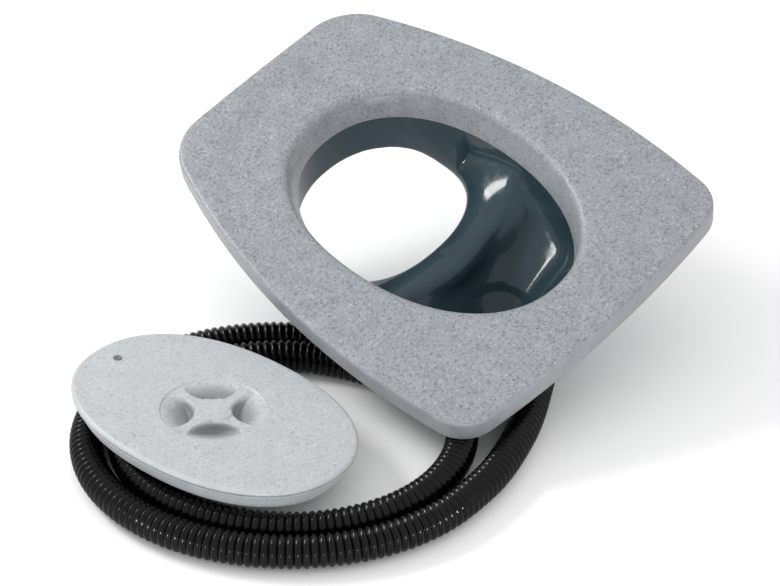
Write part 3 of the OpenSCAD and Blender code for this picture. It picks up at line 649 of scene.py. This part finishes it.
def above(height, x, y, z):
    """Distance from the space above a height function, scaled by its slope."""
    gap = 0.5
    h = height(x, y)
    sx = (height(x + gap, y) - height(x - gap, y)) / (2 * gap)
    sy = (height(x, y + gap) - height(x, y - gap)) / (2 * gap)
    return (h - z) / np.sqrt(1 + sx ** 2 + sy ** 2)


def hollow(x, y, z):
    """Distance from the open space inside the separator, negative in it."""
    side = opening_distance(x, y)
    radius = np.hypot(x, y - PARTITION_CENTRE_Y)
    bowl = smooth_most(above(bowl_height, x, y, z), PARTITION_FRONT - radius, SHOULDER_ROUNDING)
    bowl = smooth_most(bowl, side, BOWL_SIDE_ROUNDING)
    rear_face = radius - PARTITION_FRONT - SPACES_OVERLAP
    rear = smooth_most(above(rear_height, x, y, z), rear_face, REAR_FACE_ROUNDING)
    rear = smooth_least(rear, hole_distance(x, y), HOLE_EDGE_ROUNDING)
    return smooth_most(smooth_least(rear, bowl, CREST_ROUNDING), side, SIDE_ROUNDING)


def moulding(x, y, z):
    """Distance from the separator's plastic: a wall round its open space, a flange and a spigot."""
    space = hollow(x, y, z)
    shell = np.maximum(space - WALL, z + SEAT_THICKNESS)
    from_flange = np.abs(z + SEAT_THICKNESS + FLANGE_THICKNESS / 2) - FLANGE_THICKNESS / 2
    flange = np.maximum(from_flange, opening_distance(x, y) - FLANGE_REACH)
    from_axis = np.hypot(x, z - SPIGOT_Z)
    spigot = np.maximum(from_axis - SPIGOT_RADIUS, np.maximum(SPIGOT_END_Y - y, y - SPIGOT_ROOT_Y))
    solid = np.minimum(np.minimum(shell, flange), spigot)
    solid = np.maximum(solid, -space)
    skirt = np.maximum(hole_distance(x, y) - SKIRT_REACH, z - SKIRT_LEVEL - rim_rise(y))
    solid = smooth_most(solid, -skirt, HOLE_EDGE_ROUNDING)
    for i in range(SCREW_COUNT):
        turn = 2 * math.pi * (i + 0.5) / SCREW_COUNT
        c, s = math.cos(turn), math.sin(turn)
        screw_x = SCREW_OVAL[0] * math.copysign(abs(c) ** (2 / OPENING_POWER), c)
        screw_y = SCREW_OVAL[1] * math.copysign(abs(s) ** (2 / OPENING_POWER), s)
        screw_hole = np.hypot(x - screw_x, y - screw_y) - SCREW_HOLE_RADIUS
        solid = np.maximum(solid, -np.maximum(screw_hole, SCREW_HOLE_FOOT - z))
    bore_length = np.maximum(SPIGOT_END_Y - 4 - y, y - SPIGOT_BORE_ROOT_Y)
    return np.maximum(solid, -np.maximum(from_axis - SPIGOT_BORE_RADIUS, bore_length))


# The plastic's surface is drawn from a grid of distances, then each point is moved on to it.
axes = [corner + VOXEL * np.arange(steps) for corner, steps in zip(GRID_CORNER, GRID_STEPS)]
field = moulding(axes[0][:, None, None], axes[1][None, :, None], axes[2][None, None, :])
grid = openvdb.FloatGrid()
grid.background = GRID_BAND
grid.copyFromArray(np.clip(field, -GRID_BAND, GRID_BAND).astype(np.float32))
points, quads = grid.convertToQuads(isovalue=0.0)
points = points.astype(float) * VOXEL + GRID_CORNER
for _ in range(POLISH_PASSES):
    value = moulding(*points.T)
    slope = np.stack([(moulding(*(points + d).T) - moulding(*(points - d).T)) / (2 * POLISH_PROBE)
                      for d in np.eye(3) * POLISH_PROBE], 1)
    move = -value[:, None] * slope / np.maximum((slope ** 2).sum(1, keepdims=True), 0.2)
    reach = np.linalg.norm(move, axis=1, keepdims=True)
    points += move * np.minimum(1, POLISH_REACH / np.maximum(reach, 1e-9))
separator_mesh = bpy.data.meshes.new("separator_moulding")
placed = (points @ np.array(SEAT_TURN).T + np.array(SEAT_PLACE)) * MM
separator_mesh.from_pydata(placed.tolist(), [], quads.tolist())
separator_mesh.shade_smooth()
separator_mesh.set_sharp_from_angle(angle=math.radians(55))

# Glossy injection-moulded slate plastic: a mirror-like skin, faintly clouded and a little duller in spots.
slate_finish, tree, shader = new_finish("glossy_slate_plastic", "#2d3f46", 0.1, 1.5)
shader.inputs["Specular IOR Level"].default_value = 0.26
place = add_node(tree, "ShaderNodeTexCoord").outputs["Object"]
flow = add_node(tree, "ShaderNodeTexNoise", {"Vector": place, "Scale": 1 / (50 * MM), "Detail": 2.0})
tree.links.new(colour_ramp(tree, flow.outputs["Fac"], [(0.3, "#2a3b42"), (0.7, "#304249")]),
               shader.inputs["Base Color"])
scuff = add_node(tree, "ShaderNodeTexNoise", {"Vector": place, "Scale": 1 / (8 * MM), "Detail": 4.0})
dull = add_node(tree, "ShaderNodeMapRange", {"Value": scuff.outputs["Fac"], "From Min": 0.4,
                                             "From Max": 0.8, "To Min": 0.08, "To Max": 0.2})
tree.links.new(dull.outputs["Result"], shader.inputs["Roughness"])
separator_mesh.materials.append(slate_finish)
separator = bpy.data.objects.new("separator_moulding", separator_mesh)
bpy.context.scene.collection.objects.link(separator)
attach(separator, "seat_set")
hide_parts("separator")

# Fixings of the separator: eight M4 pan-head screws and washers of zinc-plated steel under its flange,
# in brass inserts that are pressed in the seat's bosses. The hose clip is of the same plated steel.
steel_finish, tree, shader = new_finish("zinc_plated_steel", "#b4b8bd", 0.3, 1.5, 1.0)
place = add_node(tree, "ShaderNodeTexCoord").outputs["Object"]
grain = add_node(tree, "ShaderNodeTexNoise", {"Vector": place, "Scale": 1 / (3 * MM), "Detail": 5.0})
tree.links.new(colour_ramp(tree, grain.outputs["Fac"], [(0.3, "#9a9ea4"), (0.7, "#c2c5c9")]),
               shader.inputs["Base Color"])
dull = add_node(tree, "ShaderNodeMapRange",
                {"Value": grain.outputs["Fac"], "To Min": 0.2, "To Max": 0.42})
tree.links.new(dull.outputs["Result"], shader.inputs["Roughness"])
coat(steel_finish, "separator_washers", "separator_screws", "hose_clip", "hose_clip_screw")

# Turned brass: a warm metal, clouded with tarnish in small spots.
brass_finish, tree, shader = new_finish("turned_brass", "#b08d4c", 0.3, 1.5, 1.0)
place = add_node(tree, "ShaderNodeTexCoord").outputs["Object"]
tarnish = add_node(tree, "ShaderNodeTexNoise", {"Vector": place, "Scale": 1 / (2 * MM), "Detail": 4.0})
tree.links.new(colour_ramp(tree, tarnish.outputs["Fac"], [(0.3, "#9c7a3e"), (0.7, "#c09c58")]),
               shader.inputs["Base Color"])
coat(brass_finish, "seat_inserts")

# Nitrile rubber of the elbow's O-ring: moulded, matt and almost black, with a pale bloom.
rubber_finish, tree, shader = new_finish("nitrile_rubber", "#18191a", 0.6, 1.52)
place = add_node(tree, "ShaderNodeTexCoord").outputs["Object"]
bloom = add_node(tree, "ShaderNodeTexNoise", {"Vector": place, "Scale": 1 / (2 * MM), "Detail": 3.0})
tree.links.new(colour_ramp(tree, bloom.outputs["Fac"], [(0.3, "#141516"), (0.7, "#202224")]),
               shader.inputs["Base Color"])
coat(rubber_finish, "elbow_o_ring")

# Lid: a loose blow-moulded cover that drops in the seat's opening. It has a flange, a groove and a plug
# below it, and on top a sunk disc with four scooped finger hollows that leave a hub and four spokes.
LID_PLACE = Vector((-192.3, -41.7, 52.2))
LID_TURN = (Matrix.Rotation(math.radians(7.89), 3, "Z") @ Matrix.Rotation(math.radians(2.19), 3, "Y")
            @ Matrix.Rotation(math.radians(1.49), 3, "X"))
LID_SECTORS = 288
LID_LENGTH = 285.6
LID_WIDTH = 191.4
LID_POWER = 2.21
LID_FOOT = -22.0
DISC_RADIUS = 47.0
DISC_SINK = 1.6
HUB_RADIUS = 17.5
HUB_RISE = 1.6
HOLLOW_DEPTH = 12.0
HOLLOW_SPOT = 41.0
HOLLOW_RADIUS = 25.5
HOLLOW_SHALLOWING = 0.86
ROUND_RINGS_END = 50
POINT_RADIUS = 0.01


def lid_sink(x, y):
    """How deep the lid's top lies below its flat: the disc, and the four hollows in it."""
    radius = np.hypot(x, y)
    disc = DISC_SINK * (1 - smooth_step(DISC_RADIUS - 0.9, DISC_RADIUS + 0.9, radius))
    disc = disc - HUB_RISE * (1 - smooth_step(HUB_RADIUS - 0.5, HUB_RADIUS + 0.7, radius))
    spot = HOLLOW_SPOT / math.sqrt(2)
    from_spot = np.hypot(np.abs(x) - spot, np.abs(y) - spot)
    wall = HOLLOW_DEPTH * np.clip((HOLLOW_RADIUS - from_spot) / 4.5, 0, 1.4)
    floor = HOLLOW_DEPTH * (1 - HOLLOW_SHALLOWING * np.clip((radius - 20) / 25, 0, 1))
    scoop = smooth_least(wall, floor, 3)
    scoop = scoop * (1 - smooth_step(DISC_RADIUS - 2.4, DISC_RADIUS - 0.9, radius))
    return smooth_most(disc, np.maximum(scoop, 0), 0.8)


lid_finish = granite_finish("granite_look_polyethylene_light", "#afb2b4", "#63686d", "#cdcfd1",
                            "#a8abad", sparse=0.055)
angles = np.linspace(-np.pi, np.pi, LID_SECTORS, endpoint=False)
rays = np.stack([np.cos(angles), np.sin(angles)], 1)


def lid_ring(radii, z, sink=False):
    """One ring of the lid. On the top face, sink lowers its points into the disc and its hollows."""
    flat = rays * np.broadcast_to(radii, (LID_SECTORS,))[:, None]
    height = np.full(LID_SECTORS, float(z))
    if sink:
        height -= lid_sink(flat[:, 0], flat[:, 1])
    return np.column_stack([flat, height])


def lid_outline(inset):
    """Radii of the lid's outline, drawn in by inset millimetres."""
    return ray_radii(oval(LID_LENGTH / 2 - inset, LID_WIDTH / 2 - inset, LID_POWER), angles)


# The lid's side, from the top face down: inset and height of the rounded edge, the groove round it, the
# flange's lower edge, a fine groove where the plug starts, and the plug's wall and rounded foot.
SIDE_PROFILE = [(3.0, -0.15), (1.9, -0.55), (1.0, -1.2), (0.35, -2.1), (0, -3.2), (0.1, -4.0),
                (0.5, -4.5), (2.0, -4.8), (2.0, -5.5), (0.5, -5.8),
                (0.3, -6.4), (0.9, -7.3), (2.0, -8.0),
                (7.1, -8.0), (7.2, -9.0), (6.0, -9.0), (6.0, -10), (6.6, -17), (7.2, -20.4),
                (8.2, -21.7), (9.6, LID_FOOT), (40, LID_FOOT)]
TOP_INSET = 4.2
OUTER_RINGS = 11
lid_radii = np.concatenate([[POINT_RADIUS], np.arange(1, 16.5, 1.0), np.arange(16.7, 18.8, 0.3),
                            np.arange(19, 43.5, 1.0), np.arange(43.5, ROUND_RINGS_END + 0.1, 0.5)])
lid_rings = [lid_ring(radius, 0, sink=True) for radius in lid_radii]
lid_rim = lid_outline(TOP_INSET)
for t in np.linspace(0, 1, OUTER_RINGS + 1)[1:]:
    lid_rings.append(lid_ring(ROUND_RINGS_END + (lid_rim - ROUND_RINGS_END) * t, 0))
lid_speckle = [1.0] * len(lid_rings)
for inset, z in SIDE_PROFILE:
    lid_rings.append(lid_ring(lid_outline(inset), z))
    lid_speckle.append(0.5)
lid_rings.append(lid_ring(POINT_RADIUS, LID_FOOT))
lid_speckle.append(0.5)
lid_cover = ring_object("lid_cover", lid_rings, LID_TURN, LID_PLACE, lid_finish, lid_speckle, closed=False)

# Painted shade in the finger hollows: for each point of the top face, how much darker the finish draws it,
# more near the hub.
placed = np.empty(len(lid_cover.data.vertices) * 3)
lid_cover.data.vertices.foreach_get("co", placed)
local = (placed.reshape(-1, 3) / MM - np.array(LID_PLACE)) @ np.array(LID_TURN)
sunk = lid_sink(local[:, 0], local[:, 1])
on_top = np.abs(local[:, 2] + sunk) < 0.5
near_hub = 1 - smooth_step(24, 44, np.hypot(local[:, 0], local[:, 1]))
painted_hollow_shade = on_top * smooth_step(DISC_SINK, 7, sunk) * (0.6 + 0.4 * near_hub)
lid_cover.data.attributes.new("painted_hollow_shade", "FLOAT", "POINT").data.foreach_set("value", painted_hollow_shade)
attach(lid_cover, "lid")
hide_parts("lid_shell")

# Vent plug of the lid: a small cap of darker polyethylene, pressed in the lid's moulding hole. Its rim is
# rounded and stands a little above the lid, and its middle is dished.
vent_finish, tree, shader = new_finish("moulded_dark_polyethylene", "#5f6367", 0.4, 1.5)
place = add_node(tree, "ShaderNodeTexCoord").outputs["Object"]
cloud = add_node(tree, "ShaderNodeTexNoise", {"Vector": place, "Scale": 1 / (2 * MM), "Detail": 2.0})
tree.links.new(colour_ramp(tree, cloud.outputs["Fac"], [(0.3, "#54585c"), (0.7, "#6c7074")]),
               shader.inputs["Base Color"])
LID_PLUG_Y = 118
LID_PLUG_PROFILE = [(POINT_RADIUS, 0.05), (1.0, 0.06), (1.9, 0.14), (2.6, 0.4), (3.1, 0.7), (3.5, 0.8),
                    (3.9, 0.7), (4.15, 0.4), (4.2, 0.02), (2.95, 0.02), (2.95, -3.0), (2.7, -3.1),
                    (POINT_RADIUS, -3.1)]
plug_rings = []
for radius, z in LID_PLUG_PROFILE:
    flat = [radius * np.cos(turns), LID_PLUG_Y + radius * np.sin(turns), np.full(PLUG_SECTORS, z)]
    plug_rings.append(np.column_stack(flat))
lid_plug = ring_object("lid_dimpled_plug", plug_rings, LID_TURN, LID_PLACE, vent_finish, closed=False)
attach(lid_plug, "lid")
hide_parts("lid_vent_plug")

# Studio: a plain pale floor under even white light, with a bright panel behind the set, for the sheen on
# its top faces, and a small one low in front, for the glints on the hose.
FLOOR_REACH = 6
floor_finish, tree, shader = new_finish("pale_studio_floor", "#f8f8f8", 0.9)
shader.inputs["Specular IOR Level"].default_value = 0.1
floor_mesh = bpy.data.meshes.new("floor")
floor_corners = [(x * FLOOR_REACH, y * FLOOR_REACH, 0) for x, y in ((-1, -1), (1, -1), (1, 1), (-1, 1))]
floor_mesh.from_pydata(floor_corners, [], [(0, 1, 2, 3)])
floor_mesh.materials.append(floor_finish)
floor = bpy.data.objects.new("floor", floor_mesh)
bpy.context.scene.collection.objects.link(floor)

world = bpy.data.worlds.new("studio")
bpy.context.scene.world = world
world.use_nodes = True
sky = world.node_tree.nodes["Background"]
sky.inputs["Color"].default_value = (1, 1, 1, 1)
sky.inputs["Strength"].default_value = 1.0


def softbox(name, place, aim, size, watts):
    """A rectangular light panel that faces a point."""
    lamp = bpy.data.lights.new(name, "AREA")
    lamp.shape = "RECTANGLE"
    lamp.size, lamp.size_y = size
    lamp.energy = watts
    panel = bpy.data.objects.new(name, lamp)
    panel.location = place
    panel.rotation_euler = (Vector(aim) - Vector(place)).to_track_quat("-Z", "Y").to_euler()
    bpy.context.scene.collection.objects.link(panel)


softbox("rear_key", (-0.66, 1.25, 1.27), (0, 0, 0.05), (0.75, 0.26), 18)
softbox("front_glint", (-1.35, -1.5, 0.28), (-0.1, -0.1, 0.03), (0.22, 0.12), 13)
bpy.context.scene.view_settings.view_transform = "Standard"
